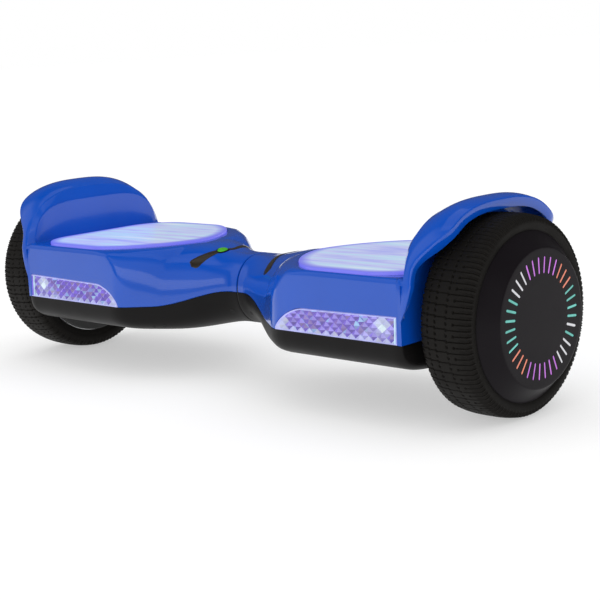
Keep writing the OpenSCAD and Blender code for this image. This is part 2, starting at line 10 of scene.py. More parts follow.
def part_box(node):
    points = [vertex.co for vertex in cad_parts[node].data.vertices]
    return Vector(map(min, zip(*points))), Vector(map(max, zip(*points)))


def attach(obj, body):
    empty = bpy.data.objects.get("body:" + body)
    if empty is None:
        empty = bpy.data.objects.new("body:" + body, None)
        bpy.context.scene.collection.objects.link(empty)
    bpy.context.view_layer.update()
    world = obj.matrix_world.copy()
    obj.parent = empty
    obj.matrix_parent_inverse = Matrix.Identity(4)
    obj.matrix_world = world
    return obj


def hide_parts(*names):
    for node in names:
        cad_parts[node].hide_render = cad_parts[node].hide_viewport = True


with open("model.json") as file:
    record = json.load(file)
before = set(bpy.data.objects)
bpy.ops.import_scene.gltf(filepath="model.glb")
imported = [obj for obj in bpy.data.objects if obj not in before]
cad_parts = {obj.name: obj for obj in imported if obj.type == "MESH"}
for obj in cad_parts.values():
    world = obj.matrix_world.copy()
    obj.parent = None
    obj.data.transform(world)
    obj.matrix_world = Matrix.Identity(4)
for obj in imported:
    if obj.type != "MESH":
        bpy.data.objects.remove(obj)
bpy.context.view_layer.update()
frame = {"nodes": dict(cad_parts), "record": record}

# ---- sizes, in millimetres, read off the frame ----

MM = 0.001


def corners(node):
    """Lowest and highest corner of a CAD node in millimetres."""
    low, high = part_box(node)
    return np.array(low) / MM, np.array(high) / MM


tyre_low, tyre_high = corners("right_tyre")
shell_low, shell_high = corners("right_upper_shell")
belly_low, belly_high = corners("right_lower_shell")
pad_low, pad_high = corners("right_foot_pad")
lens_low, lens_high = corners("right_headlamp_lens")
cover_high = corners("right_hub_cover")[1]
seal_high = corners("neck_seal")[1]

axle_h = (tyre_low[2] + tyre_high[2]) / 2
tyre_r = (tyre_high[2] - tyre_low[2]) / 2
half_d = -shell_low[1]
neck_gap = shell_low[0]
neck_r = seal_high[1] + 0.6
fender_x = belly_high[0] - 3
well_x = belly_high[0]
fender_out = shell_high[0]
belly_z = belly_low[2]
seam_z = lens_low[2] - 0.2
pad_top = pad_high[2]
deck_z = pad_top - 2.3   # the pads stand a little above the deck
recess_z = deck_z - 2.6  # floor under a pad
pad_x0, pad_x1, pad_half = pad_low[0], pad_high[0], pad_high[1]
hub_x = cover_high[0]
wall = 2.8               # thickness of the shells
lens_h = 21              # height of a headlamp
lamp_depth = 9
crown_h = 99.5           # top of the fender above the axle
oval_x = 152             # the pointed ovals of pad and deck have their straight sides from here
lamp_x0 = 107.6          # inner end of the headlamp's pocket

# ---- curves that shape the body, as functions of the distance x from the centre ----
# The seam, top and belly give heights, the depth half of the body's extent in y and the flat half of the
# deck's level part. The front leans back from the seam to the shoulder, where it turns into the deck.


def ease(a, b, x):
    t = np.clip((x - a) / (b - a), 0, 1)
    return t * t * (3 - 2 * t)


def mix(a, b, t):
    return a + (b - a) * t


def soft_min(a, b, k):
    h = np.clip(0.5 + 0.5 * (b - a) / k, 0, 1)
    return mix(b, a, h) - k * h * (1 - h)


def oval(u):
    """Quarter of a pointed oval, from 1 at u = 0 to 0 at u = 1."""
    return (1 - np.clip(u, 0, 1) ** 1.6) ** 0.625


def depth_at(x):
    spread = neck_r + (half_d - 34) * np.clip((x - 8) / 97, 0, 1) ** 1.25 + 0.8 * np.maximum(0, x - 105)
    return soft_min(spread, half_d, 7)


def seam_at(x):
    return mix(axle_h + 1, seam_z, ease(12, 80, x))


def top_at(x):
    return mix(axle_h + neck_r, deck_z, ease(15, 72, x))


def belly_at(x):
    return mix(axle_h - neck_r, belly_z, ease(12, 75, x))


def lean_at(x):
    return 2.5 * ease(95, 120, x)


def flat_at(x):
    return max(6, min(89 * oval((oval_x - x) / 80), depth_at(x) - lean_at(x) - 3.5))


def shoulder_z(x):
    return mix(seam_at(x) + 2, top_at(x) - 5, ease(92, 125, x))


def shoulder_power(x):
    return mix(2 / mix(2.0, 2.6, ease(30, 100, x)), 1, ease(95, 125, x))


def lens_top(x):
    return seam_z + (lens_h + 0.018 * max(0, x - 140)) * oval((140 - x) / 32)


def roof_at(x, y):
    """Height of the upper shell above the point (x, y)."""
    f, zs, e = flat_at(x), shoulder_z(x), shoulder_power(x)
    q = max(0, abs(y) - f) / (depth_at(x) - lean_at(x) - f)
    return zs + (top_at(x) - zs) * math.sin(math.acos(min(1, q ** (1 / e)))) ** e


# ---- meshes ----


def add_mesh(name, points, faces, body, finish, stands_for=(), crease=None, closed=True):
    """A mesh piece from points in millimetres, on a body, in place of some CAD nodes."""
    mesh = bpy.data.meshes.new(name)
    mesh.from_pydata((np.asarray(points, float) * MM).tolist(), [], [[int(i) for i in f] for f in faces])
    mesh.materials.append(finish)
    if closed:
        work = bmesh.new()
        work.from_mesh(mesh)
        bmesh.ops.recalc_face_normals(work, faces=work.faces)
        work.to_mesh(mesh)
        work.free()
    mesh.shade_smooth()
    if crease:
        mesh.set_sharp_from_angle(angle=math.radians(crease))
    piece = bpy.data.objects.new(name, mesh)
    bpy.context.scene.collection.objects.link(piece)
    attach(piece, body)
    if stands_for:
        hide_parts(*stands_for)
    return piece


def add_pair(suffix, points, faces, body, finish, stands_for=None, slot=None, crease=None, closed=True):
    """A mesh piece on the right side and its mirror image on the left, named after their side."""
    pieces = []
    for name, side in (("right", 1), ("left", -1)):
        seen = np.asarray(points, float) * [side, 1, 1]
        turned = faces if side > 0 else [list(f)[::-1] for f in faces]
        cad = [f"{name}_{stands_for}"] if stands_for else ()
        pieces.append(add_mesh(f"{name}_{suffix}", seen, turned, f"{name}_{body}", finish, cad, crease,
                               closed))
    return pieces


def grid_faces(rows, columns, wrap_rows=False, wrap_columns=False, skip=()):
    skip = set(skip)
    return [(i * columns + j, i * columns + (j + 1) % columns,
             (i + 1) % rows * columns + (j + 1) % columns, (i + 1) % rows * columns + j)
            for i in range(rows if wrap_rows else rows - 1)
            for j in range(columns if wrap_columns else columns - 1) if (i, j) not in skip]


# ---- finishes ----


def rgba(tint):
    """A colour from a grey or from red, green and blue; a socket stays as it is."""
    if isinstance(tint, (int, float)):
        return tint, tint, tint, 1
    return (*tint, 1) if isinstance(tint, tuple) else tint


class Tree:
    """A node tree, for materials and for the surroundings."""

    def __init__(self, owner):
        owner.use_nodes = True
        self.nodes, self.links = owner.node_tree.nodes, owner.node_tree.links

    def make(self, kind, inputs, output, **settings):
        """One output of a new node whose inputs are values or other nodes' outputs."""
        node = self.nodes.new("ShaderNode" + kind)
        for key, value in settings.items():
            setattr(node, key, value)
        for key, value in inputs.items():
            if isinstance(value, bpy.types.NodeSocket):
                self.links.new(value, node.inputs[key])
            else:
                node.inputs[key].default_value = value
        return node.outputs[output]

    def ramp(self, source, *stops):
        node = self.nodes.new("ShaderNodeValToRGB")
        elements = node.color_ramp.elements
        while len(elements) < len(stops):
            elements.new(0.5)
        for element, (place, tint) in zip(elements, stops):
            element.position = place
            element.color = rgba(tint)
        self.links.new(source, node.inputs["Fac"])
        return node.outputs["Color"]


class Finish(Tree):
    """A node material built up from noise, ramps and bumps in the object's own space."""

    def __init__(self, name, **sockets):
        self.material = bpy.data.materials.new(name)
        super().__init__(self.material)
        self.shader = self.nodes["Principled BSDF"]
        self.place = self.nodes.new("ShaderNodeTexCoord").outputs["Object"]
        for key, value in sockets.items():
            self.shader.inputs[key.replace("_", " ")].default_value = value

    def link(self, source, key):
        self.links.new(source, self.shader.inputs[key])
        return self

    def noise(self, scale, detail=2.0, stretch=(1, 1, 1), roughness=0.5):
        place = self.make("Mapping", {"Vector": self.place, "Scale": stretch}, "Vector")
        return self.make("TexNoise", {"Vector": place, "Scale": scale, "Detail": detail,
                                      "Roughness": roughness}, "Fac")

    def attribute(self, name, output):
        return self.make("Attribute", {}, output, attribute_name=name)

    def blend(self, factor, a, b, kind="MIX"):
        return self.make("Mix", {0: factor, 6: rgba(a), 7: rgba(b)}, 2, data_type="RGBA", blend_type=kind)

    def bump(self, source, strength, distance):
        inputs = {"Height": source, "Strength": strength, "Distance": distance}
        return self.link(self.make("Bump", inputs, "Normal"), "Normal")

    def glow(self, tint, unlit, strength):
        """Light of a tint, over a base that is the tint darkened by the share unlit."""
        self.link(self.blend(unlit, tint, 0.0), "Base Color").link(tint, "Emission Color")
        self.shader.inputs["Emission Strength"].default_value = strength
        return self


def moulded(name, dark, light, gloss, grain, depth, **sockets):
    """Moulded plastic or rubber: slow tint changes, a roughness that wanders and a fine grain."""
    f = Finish(name, **sockets)
    f.link(f.ramp(f.noise(14, 3), (0.3, dark), (0.7, light)), "Base Color")
    f.link(f.ramp(f.noise(38, 4), (0.25, gloss[0]), (0.75, gloss[1])), "Roughness")
    return f.bump(f.noise(grain, 2), 0.35, depth).material


def metal(name, dark, light, gloss, stretch=(1, 1, 1)):
    """Turned or rolled metal with fine lines along the short side of stretch."""
    f = Finish(name, Metallic=1.0)
    lines = f.noise(260, 3, stretch)
    f.link(f.ramp(lines, (0.3, dark), (0.7, light)), "Base Color")
    f.link(f.ramp(f.noise(90, 4, stretch), (0.3, gloss[0]), (0.7, gloss[1])), "Roughness")
    return f.bump(lines, 0.2, 0.00004).material


blue = moulded("blue_gloss", (0.001, 0.070, 0.47), (0.0015, 0.078, 0.51), (0.1, 0.15), 900, 0.00001,
               Coat_Weight=0.25, Coat_Roughness=0.03)
black = moulded("black_satin", (0.0045, 0.004, 0.004), (0.0065, 0.0058, 0.0058), (0.36, 0.46), 1500, 0.00004,
                Specular_IOR_Level=0.14)
hub_black = moulded("hub_satin", (0.0062, 0.0048, 0.0065), (0.0085, 0.0064, 0.0086), (0.34, 0.42), 1300,
                    0.00002, Specular_IOR_Level=0.1)
tyre_rubber = moulded("tyre_rubber", (0.0072, 0.0064, 0.0055), (0.0102, 0.0090, 0.0078), (0.55, 0.7), 700,
                      0.00008, Specular_IOR_Level=0.12)
soft_rubber = moulded("soft_rubber", (0.006, 0.006, 0.006), (0.010, 0.010, 0.010), (0.5, 0.65), 900, 0.00003,
                      Specular_IOR_Level=0.25)
strip_gloss = moulded("smoked_gloss", (0.016, 0.012, 0.008), (0.028, 0.021, 0.014), (0.14, 0.2), 900,
                      0.00001)
steel = metal("bright_steel", (0.42, 0.43, 0.45), (0.6, 0.61, 0.63), (0.25, 0.36), (1, 6, 6))
aluminium = metal("cast_aluminium", (0.5, 0.51, 0.53), (0.68, 0.69, 0.71), (0.38, 0.52))
bronze = metal("oiled_bronze", (0.42, 0.24, 0.09), (0.55, 0.34, 0.14), (0.28, 0.4))
copper = metal("enamelled_copper", (0.5, 0.16, 0.05), (0.72, 0.28, 0.1), (0.25, 0.35), (1, 1, 9))
wrap = moulded("battery_wrap", (0.01, 0.03, 0.16), (0.02, 0.05, 0.22), (0.2, 0.3), 500, 0.00005)


def circuit_board():
    f = Finish("circuit_board", Roughness=0.35)
    tracks = f.make("TexBrick", {"Vector": f.place, "Scale": 120, "Mortar Size": 0.03}, "Fac")
    f.link(f.blend(tracks, (0.01, 0.09, 0.04), (0.06, 0.25, 0.1)), "Base Color")
    return f.bump(tracks, 0.3, 0.00005).material


board = circuit_board()


def pad_glow():
    """A lit translucent mat: pale streaks along the foot, violet towards its rim."""
    f = Finish("pad_glow", Roughness=0.3, Coat_Weight=0.3, Coat_Roughness=0.15)
    streaks = f.noise(9, 3, (1, 9, 1), 0.55)
    pale = f.ramp(streaks, (0.30, (0.42, 0.45, 1.0)), (0.46, (0.62, 0.66, 1.0)), (0.58, (0.55, 0.78, 1.0)),
                  (0.75, (0.86, 0.88, 1.0)))
    rim = f.ramp(f.attribute("inset", "Fac"), (0.0, 1.0), (0.06, 0.8), (0.2, 0.0))
    glow = f.blend(rim, pale, (0.2, 0.2, 0.93))
    return f.glow(glow, 0.75, 0.75).bump(f.noise(600, 2), 0.2, 0.00004).material


def prism_glow():
    """Clear moulded prisms with coloured lamps behind them: each facet has a tint of its own, with painted
    shade and light for the side it faces.
    """
    f = Finish("prism_glow", Roughness=0.08, Coat_Weight=1.0, Coat_Roughness=0.02)
    cloudy = f.ramp(f.noise(120, 2), (0.3, 0.35), (0.7, 1.0))
    tint = f.blend(0.35, f.attribute("tint", "Color"), cloudy, "MULTIPLY")
    return f.glow(tint, 0.75, 0.85).material


def bar_glow():
    f = Finish("bar_glow", Roughness=0.25)
    tint = f.blend(f.noise(300, 2), f.attribute("tint", "Color"), (0.9, 0.9, 0.95), "SOFT_LIGHT")
    return f.glow(tint, 0.75, 0.6).material


def green_glow():
    f = Finish("green_glow", Roughness=0.2, Coat_Weight=1.0)
    tint = f.ramp(f.noise(400, 2), (0.3, (0.03, 0.28, 0.003)), (0.7, (0.07, 0.42, 0.006)))
    return f.glow(tint, 0.6, 0.8).material


pad_finish, prism_finish, bar_finish, green_finish = pad_glow(), prism_glow(), bar_glow(), green_glow()

# ---- upper shell: a closed wall profile swept from the neck, over the fender and back inside ----

FRONT = 10               # points up the front wall
SHOULDER = 12            # points round a shoulder
FLOOR = 26               # points on each half of the recess floor
BACK = (1, 0.84, 2 / 3, 0.5, 1 / 3, 0.16, 0.02, 0)  # heights down the back wall, as a share
MID = 2 * FLOOR + 8      # points between the two shoulders
LEAD = FRONT + SHOULDER   # points ahead of the middle
TAIL = SHOULDER + len(BACK)
SPAN = LEAD + MID + TAIL  # points of a whole profile
gap = 0.8                # between a foot pad and the deck
corner_r = 42            # the foot pad's outer corners
pillar_x = fender_x + 5  # the chamfer round the wall's panel ends here


def pad_width(x, inset=0.0):
    """Half of the foot pad's width at x, its outline moved in by inset."""
    half = (pad_half - inset) * oval((oval_x - x) / (oval_x - pad_x0 - inset))
    c = max(corner_r - inset, 1)
    u = np.clip((x - (pad_x1 - inset - c)) / c, 0, 1)
    return half - c + c * np.sqrt(1 - u * u)


def deck_row(x, off=0.0, sunk=None, round_off=0.0, pocket=None):
    """Wall profile across the deck at x, front to back: [y, z] of SPAN points."""
    z0, zs, top, d, lean = seam_at(x), shoulder_z(x), top_at(x), depth_at(x), lean_at(x)
    f, e = flat_at(x), shoulder_power(x)
    p = (lamp_depth if x > lamp_x0 else 0) if pocket is None else pocket
    zl = max(z0 + 0.3, lens_top(x) + 0.4) + (off if p else 0) if p else z0 + 0.2

    def side(z):
        return d - off - lean * (z - z0) / (zs - z0)

    front = [(-(d - off - max(p, 0.5)), z0), (-(d - off - max(p, 0.35)), zl),
             (-(side(zl) - 0.3), zl), (-(side(zl) - 0.08), zl + 0.2), (-side(zl + 0.6), zl + 0.6)]
    front += [(-side(z), z) for z in np.linspace(zl + 0.6, zs, 6)[1:]]
    a = np.linspace(0, math.pi / 2, SHOULDER + 1)[1:]
    s, h = d - lean - off - f, top - off - zs
    arc = np.stack([f + s * np.maximum(np.cos(a), 0) ** e, zs + h * np.sin(a) ** e], -1)
    sink = 0.0 if sunk is None else sunk
    r = min(f - 1.5, pad_width(x, -gap)) if sink else 0.9 * f
    w = 0.5 * (f - r) if off else 0
    edge = min(0.3, 0.2 * (f - r)) if sink else 0
    z = top - off
    q = min(12, 0.3 * r)
    half = [(-r - w - 2 * edge, z), (-r - w - edge * 0.4, z - edge * 0.4), (-r - w, z - edge * 1.5),
            (-r - w + 0.02, z - sink)]
    half += [(y, z - sink) for y in np.linspace(-r, -q, FLOOR)]
    rows = front + [(-y, z) for y, z in arc] + half
    rows += [(-y, z) for y, z in half[::-1]] + [(y, z) for y, z in arc[::-1]]
    rows += [(side(mix(z0, zs, k)) - (0.4 if k == 0 else 0), mix(z0, zs, k)) for k in BACK]
    rows = np.array(rows)
    if round_off:
        hub = np.array([0, axle_h])
        rows = hub + (rows - hub) * (neck_r - round_off) / neck_r
    return np.column_stack([np.full(len(rows), x), rows])


def super_arch(a, b, power, low, count):
    """Points of an arch over the axle between the heights low, front to back."""
    start = math.asin(((low - axle_h) / b) ** (power / 2))
    u = np.linspace(start, math.pi - start, count)
    return np.stack([-np.sign(np.cos(u)) * a * np.abs(np.cos(u)) ** (2 / power),
                     axle_h + b * np.sin(u) ** (2 / power)], -1)


ARCH_POWER = 2.8         # roundness of the fender's arch


def arch_width(z, a, b):
    return a * (1 - np.clip((z - axle_h) / b, 0, 1) ** ARCH_POWER) ** (1 / ARCH_POWER)


FLANGE = 9.5             # width of the flange over the wheel
rim_x = well_x + 0.6     # the lip's edge where it has no flange


def edge_x(y, z):
    """The fender's outer edge: a narrow flange above the lamp that widens to the full lip higher up."""
    back = ease(-20, 20, y)
    flange = FLANGE * np.clip((z - 97.5) / 24, 0, 1) ** 0.45
    rise = ease(mix(132, 124, back), mix(170, 163, back), z)
    return rim_x + flange + (fender_out - rim_x - flange) * rise


CROWN_X = 274            # the arch is tallest here


def crown_at(x):
    """Height of the arch above the axle at x."""
    if x > CROWN_X:
        return crown_h - 0.012 * (x - CROWN_X) ** 2
    return mix(90, crown_h, math.sin(math.pi / 2 * (x - fender_x) / (CROWN_X - fender_x)))


foot_z = deck_z + 1.3    # the wall's panel starts here
foot_half = 82.2         # half of the fillet's length between deck and wall
side_z = deck_row(fender_x, pocket=0)[:, 2]


def arch_row(a, b, low=foot_z):
    """[y, z] of SPAN points: up the front, over the arch, down the back."""
    up = np.concatenate([side_z[:FRONT], np.linspace(side_z[FRONT - 1], low, SHOULDER + 2)[1:-1]])
    behind = side_z[-len(BACK):]
    down = np.concatenate([np.linspace(behind[0], low, SHOULDER + 2)[1:-1][::-1], behind])
    front = np.stack([-arch_width(up, a, b), up], -1)
    back = np.stack([arch_width(down, a, b), down], -1)
    return np.concatenate([front, super_arch(a, b, ARCH_POWER, low, MID), back])


PANEL_HALF, PANEL_RISE = 83.5, 81.5


def panel_row(x, inset, lift=0.0):
    """The wall's panel seen from the deck: its outline moved in by inset, at depth x."""
    a, b = PANEL_HALF - inset, PANEL_RISE - inset
    low = foot_z + lift
    base = deck_row(fender_x, pocket=0)
    rows = np.zeros((SPAN, 2))
    rows[:FRONT] = base[:FRONT, 1:]
    rows[-len(BACK):] = base[-len(BACK):, 1:]
    foot = super_arch(a, b, 4.2, low, MID)
    for k in range(SHOULDER):
        t = (k + 1) / (SHOULDER + 1)
        y = mix(base[FRONT - 1, 1], foot[0, 0], t)
        rows[FRONT + k] = y, max(roof_at(fender_x, y), mix(base[FRONT - 1, 2], low, t))
        y = mix(foot[-1, 0], base[-len(BACK), 1], t)
        rows[LEAD + MID + k] = y, max(roof_at(fender_x, y), mix(low, base[FRONT - 1, 2], t))
    rows[LEAD:LEAD + MID] = foot
    return np.column_stack([np.full(SPAN, x), rows])


def foot_row(x, z):
    """The fillet between the deck and the wall."""
    rows = panel_row(x, 0)
    base = deck_row(fender_x - 0.5, pocket=0)
    mid = slice(LEAD, LEAD + MID)
    rows[mid, 1] = np.clip(base[mid, 1], -foot_half, foot_half)
    rows[mid, 2] = z
    return rows


def inward(y, z):
    """Direction from the arch towards the wheel, level below the arch."""
    rise = np.where(z > 100, z - axle_h, 0)
    size = np.hypot(y, rise)
    return np.stack([-y / size, -rise / size], -1)


SLOT_XS = ((124.5, 133.5), (207.5, 216.5))  # openings for the pad's plungers, along x
WINDOW_XS = (152, 162)   # opening in the back wall for the inlet and the button
DECK_END = 246.3         # the deck's fillet to the wall starts here
AXLE_R = 13              # the wheel side of the wall is open round the axle


def notch(x, r):
    """Outline of the axle's opening at x, its feet level with the seam."""
    rows = np.zeros((SPAN, 2))
    rows[:LEAD] = np.stack([np.full(LEAD, -r), np.linspace(seam_z, axle_h - 2, LEAD)], -1)
    u = np.linspace(0, math.pi, MID)
    rows[LEAD:LEAD + MID] = np.stack([-r * np.cos(u), axle_h + r * np.sin(u)], -1)
    rows[-TAIL:] = np.stack([np.full(TAIL, r), np.linspace(axle_h - 2, seam_z, TAIL)], -1)
    return np.column_stack([np.full(SPAN, x), rows])


def upper_shell():
    tip = pad_x0 - gap
    neck_xs = [1.6, *range(4, 65, 4), 67, 70, 73, 75.5, 77.5, 79]
    sunk = deck_z - recess_z
    pad_rows = [tip + step for step in (0.01, 0.25, 0.7, 1.4, 2.6, 4.2, 6.4, 9)]
    pad_rows += [92, 95.5, 99, 102.5, 105, 107, lamp_x0]
    lamp_rows = [lamp_x0 + 0.15, 107.95, 108.4, 109, 110, 111.5, 113.5, 116, 119, 121.5, *SLOT_XS[0],
                 138, 144, *WINDOW_XS, 172, 184, 196, *SLOT_XS[1], 220.5, 226, 231, 235.5, 239, 242,
                 244.2, 245.6, 246.2, DECK_END]

    def row_at(x):
        """Number of the row at x, where the headlamp's stretch starts after the pad's."""
        return len(neck_xs) + 3 + len(pad_rows) + lamp_rows.index(x)

    def deck_rows(off):
        rows = [deck_row(neck_gap, off, round_off=0.5), deck_row(neck_gap + 0.25, off, round_off=0.12)]
        rows += [deck_row(x, off) for x in neck_xs + [tip]]
        rows += [deck_row(x, off, sunk) for x in pad_rows + lamp_rows]
        return rows

    outer = deck_rows(0)
    outer.append(deck_row(DECK_END + 0.02))
    fillet = ((247.0, 0), (247.5, 0.12), (247.85, 0.45), (fender_x, 1.0))
    for x, rise in fillet:
        row = foot_row(x, deck_z + rise)
        row[:2, 1] = lamp_depth - half_d
        outer.append(row)
    outer += [panel_row(fender_x, 2.2, 1.2), panel_row(fender_x, 0.7, 0.5), panel_row(fender_x + 0.25, -0.3)]
    shelf = panel_row(fender_x, -0.3)[:, 1:]
    arch = arch_row(half_d - 0.5, crown_at(pillar_x))
    lip_x = edge_x(arch[:, 0], arch[:, 1])
    chamfer = ((fender_x + 0.9, 0.16), (pillar_x - 0.9, 0.84), (pillar_x - 0.25, 0.97), (pillar_x + 0.6, 1.0))
    for x, t in chamfer:
        rows = mix(shelf, arch, t)
        outer.append(np.column_stack([np.minimum(x, lip_x - 0.3 - 0.4 * (1 - t)), rows]))
    steps = 20
    reach = 1.2
    room = np.clip((lip_x - rim_x) / 8, 0.06, 1)      # how much of a flange fits
    start = outer[-1][:, 0]
    for k in range(1, steps + 1):
        t = k / steps
        rows = arch_row(half_d - 0.5, crown_at(mix(pillar_x, fender_out, t)))
        outer.append(np.column_stack([mix(start, edge_x(rows[:, 0], rows[:, 1]) - reach * room, t), rows]))
    rim = arch_row(half_d - 0.5, crown_at(fender_out))
    edge = edge_x(rim[:, 0], rim[:, 1])
    room = np.clip((edge - rim_x) / 8, 0.06, 1)
    depth = 1.5 + 7.5 * (edge - well_x) / (fender_out - well_x) + 2.5 * ease(0, 0.3, (edge - well_x) / 36)
    depth = np.minimum(depth * room ** 0.5, 9.5)
    centre = inward(rim[:, 0], rim[:, 1])

    def lip(back, down):
        return np.column_stack([edge - back * room, rim + centre * np.asarray(down)[:, None]])

    one = np.ones(SPAN)
    outer += [lip(0.6, 0.16 * one), lip(0.16, 0.6 * one), lip(0, np.minimum(1.4, depth * 0.4) * one),
              lip(0, depth - np.minimum(0.7, depth * 0.3)), lip(0.3, depth - 0.2 * room), lip(0.9, depth),
              lip(1.9, depth), lip(2.5, depth - 0.2 * room)]
    under = [lip(2.8, depth - np.minimum(0.7, depth * 0.3)), lip(3.0, np.minimum(3.4, depth * 0.6) * one)]
    near = under[1][:, 0]
    for t in np.linspace(0, 1, 11):
        shape = arch_row(half_d - 3.5, crown_at(mix(fender_out, fender_x + 4, t)) - 3)
        under.append(np.column_stack([mix(near - 1.5 * room, np.minimum(near, well_x + 2.4), t), shape]))
    shape = arch_row(half_d - 5, crown_at(fender_x + 4) - 4.6)
    under.append(np.column_stack([np.minimum(near, well_x + 0.9), shape]))
    shape = arch_row(half_d - 7, crown_at(fender_x + 4) - 6.8)
    shape[:FRONT, 0] = -(half_d - 1.2)
    shape[-len(BACK):, 0] = half_d - 1.2
    under.append(np.column_stack([np.minimum(near, well_x + 0.5), shape]))
    inside = deck_rows(wall)[::-1]
    rows = outer + under + [notch(well_x + 0.5, AXLE_R), notch(fender_x, AXLE_R)] + inside
    n = len(rows)
    back = LEAD + MID + SHOULDER + 2
    middle = LEAD + MID // 2 - 1
    openings = [(row_at(WINDOW_XS[0]), row_at(WINDOW_XS[1]) + 1, back, back + 2)]
    openings += [(row_at(x), row_at(x) + 1, middle, middle + 1) for x, _ in SLOT_XS]
    skip = [(i, j) for i0, i1, j0, j1 in openings for i in range(i0, i1) for j in range(j0, j1)]
    skip += [(n - 2 - i, j) for i, j in skip]
    faces = grid_faces(n, SPAN, wrap_rows=True, skip=skip)
    for i0, i1, j0, j1 in openings:
        ring = [(i0, j) for j in range(j0, j1)] + [(i, j1) for i in range(i0, i1)]
        ring += [(i1, j) for j in range(j1, j0, -1)] + [(i, j0) for i in range(i1, i0, -1)]
        for (i, j), (k, l) in zip(ring, ring[1:] + ring[:1]):
            faces.append((i * SPAN + j, k * SPAN + l, (n - 1 - k) * SPAN + l, (n - 1 - i) * SPAN + j))
    deck_count = len(inside)
    for end in (0, SPAN - 1):
        for i in range(deck_count - 1):
            faces.append([j * SPAN + end for j in (i, i + 1, n - 2 - i, n - 1 - i)])
        faces.append([i * SPAN + end for i in range(deck_count - 1, n - deck_count + 1)])
    return np.concatenate(rows), faces


def belly_point(x, u, off=0.0, lift=0.0):
    """Point of the underside at x, at the angle u below its front edge; off moves it inwards."""
    e = 2 / mix(2.0, 3.4, ease(15, 90, x))
    d = depth_at(x) - off - 0.25 * lift
    h = seam_at(x) - belly_at(x) - off - lift
    return np.stack([x + 0 * u, -np.sign(np.cos(u)) * d * np.abs(np.cos(u)) ** e,
                     seam_at(x) - 0.15 - h * np.sin(u) ** e], -1)


def lower_shell():
    """The black underside: closed wall loops that end in a wall beside the wheel."""
    count = 61
    xs = [neck_gap, neck_gap + 0.3, 1.8, 5, *range(9, 75, 5), 80, 86, 92, 97, 102, 106, 112, 120, 134, 152,
          176, 200, 220, 236, 240, 243, 245.5, 247.7, 249.3, 250.4, well_x]
    end_r = 9

    def loop(x, off):
        inset = {0: 0.5, 1: 0.12}.get(xs.index(x), 0) if off == 0 and x < 1.5 else 0
        t = np.clip((x - (well_x - end_r)) / end_r, 0, 1)
        lift = end_r * (1 - math.sqrt(max(0, 1 - t * t)))
        return belly_point(x, u, off + inset, lift)

    u = np.linspace(0, math.pi, count)
    inner_xs = [min(x, fender_x) for x in xs if x < 240] + [fender_x]

    def top(x):
        rim = seam_z - 0.15 - np.sqrt(np.sin(u))
        return np.stack([np.full(count, x), -(half_d - 5) * np.cos(u), rim], -1)

    outer = [loop(x, 0) for x in xs]
    inner = [belly_point(x, u, wall) for x in inner_xs[::-1]]
    rows = outer + [top(well_x - 0.3), top(fender_x)] + inner
    n = len(rows)
    faces = grid_faces(n, count, wrap_rows=True)
    for end in (0, count - 1):
        a = list(range(len(outer)))
        b = list(range(n - 1, n - 1 - len(inner), -1))
        i = j = 0
        while i < len(a) - 1 or j < len(b) - 1:
            step_a = j == len(b) - 1 or (i < len(a) - 1 and rows[a[i + 1]][end, 0] <= rows[b[j + 1]][end, 0])
            if step_a:
                faces.append((a[i] * count + end, a[i + 1] * count + end, b[j] * count + end))
                i += 1
            else:
                faces.append((a[i] * count + end, b[j + 1] * count + end, b[j] * count + end))
                j += 1
        faces.append([k * count + end for k in (len(outer) - 1, len(outer), len(outer) + 1, len(outer) + 2)])
    return np.concatenate(rows), faces


add_pair("deck_shell", *upper_shell(), "half", blue, "upper_shell", "blue_shell", crease=34)
add_pair("belly_shell", *lower_shell(), "half", black, "lower_shell", "black_shell", crease=40)

# ---- screw plugs in the underside ----


def plug(x, u, radius):
    """A dished round plug that lies on the underside."""
    centre = belly_point(x, np.array(u))
    along = belly_point(x + 0.5, np.array(u)) - belly_point(x - 0.5, np.array(u))
    round_it = belly_point(x, np.array(u + 0.01)) - belly_point(x, np.array(u - 0.01))
    along /= np.linalg.norm(along)
    out = np.cross(along, round_it)
    out /= np.linalg.norm(out)
    out *= np.sign(np.dot(out, centre - [x, 0, seam_at(x)]))
    across = np.cross(out, along)
    rings = [(1.0, -0.6), (1.0, 0.12), (0.9, 0.25), (0.75, 0.2), (0.6, 0.06), (0.3, 0.04)]
    a = np.arange(20) * math.pi / 10
    points = [centre + radius * share * (math.cos(t) * along + math.sin(t) * across) + rise * out
              for share, rise in rings for t in a]
    faces = grid_faces(len(rings), 20, wrap_columns=True)
    return points, faces + [list(range(20)), list(range(100, 120))]


# Each plug: x, angle below the front edge in degrees, radius
PLUGS = ((13, 35, 2.4), (13, 145, 2.4), (75, 36, 2.2), (75, 144, 2.2), (84, 36, 1.6), (84, 144, 1.6))
for i, (x, angle, radius) in enumerate(PLUGS):
    add_pair(f"screw_plug_{i}", *plug(x, math.radians(angle), radius), "half", soft_rubber,
             slot="black_rubber", crease=40)

# ---- foot pads ----


def pad_outline(inset):
    c = max(corner_r - inset, 0.5)
    start = pad_x0 + inset
    t = np.linspace(0, 1, 34)[1:]
    xs = start + (oval_x - start) * t ** 2
    curve = [(x, (pad_half - inset) * oval((oval_x - x) / (oval_x - start))) for x in xs]
    curve += [(x, pad_half - inset) for x in (165, 180, 195)]
    a = np.linspace(math.pi / 2, 0, 14)
    curve += [(pad_x1 - inset - c + c * math.cos(t), pad_half - inset - c + c * math.sin(t)) for t in a]
    curve = np.array(curve)
    curve[:, 0] = np.minimum(curve[:, 0], pad_x1 - inset)
    curve[:, 1] = np.maximum(curve[:, 1], 0.2)
    return np.concatenate([[[start, 0]], curve, curve[::-1] * [1, -1]])


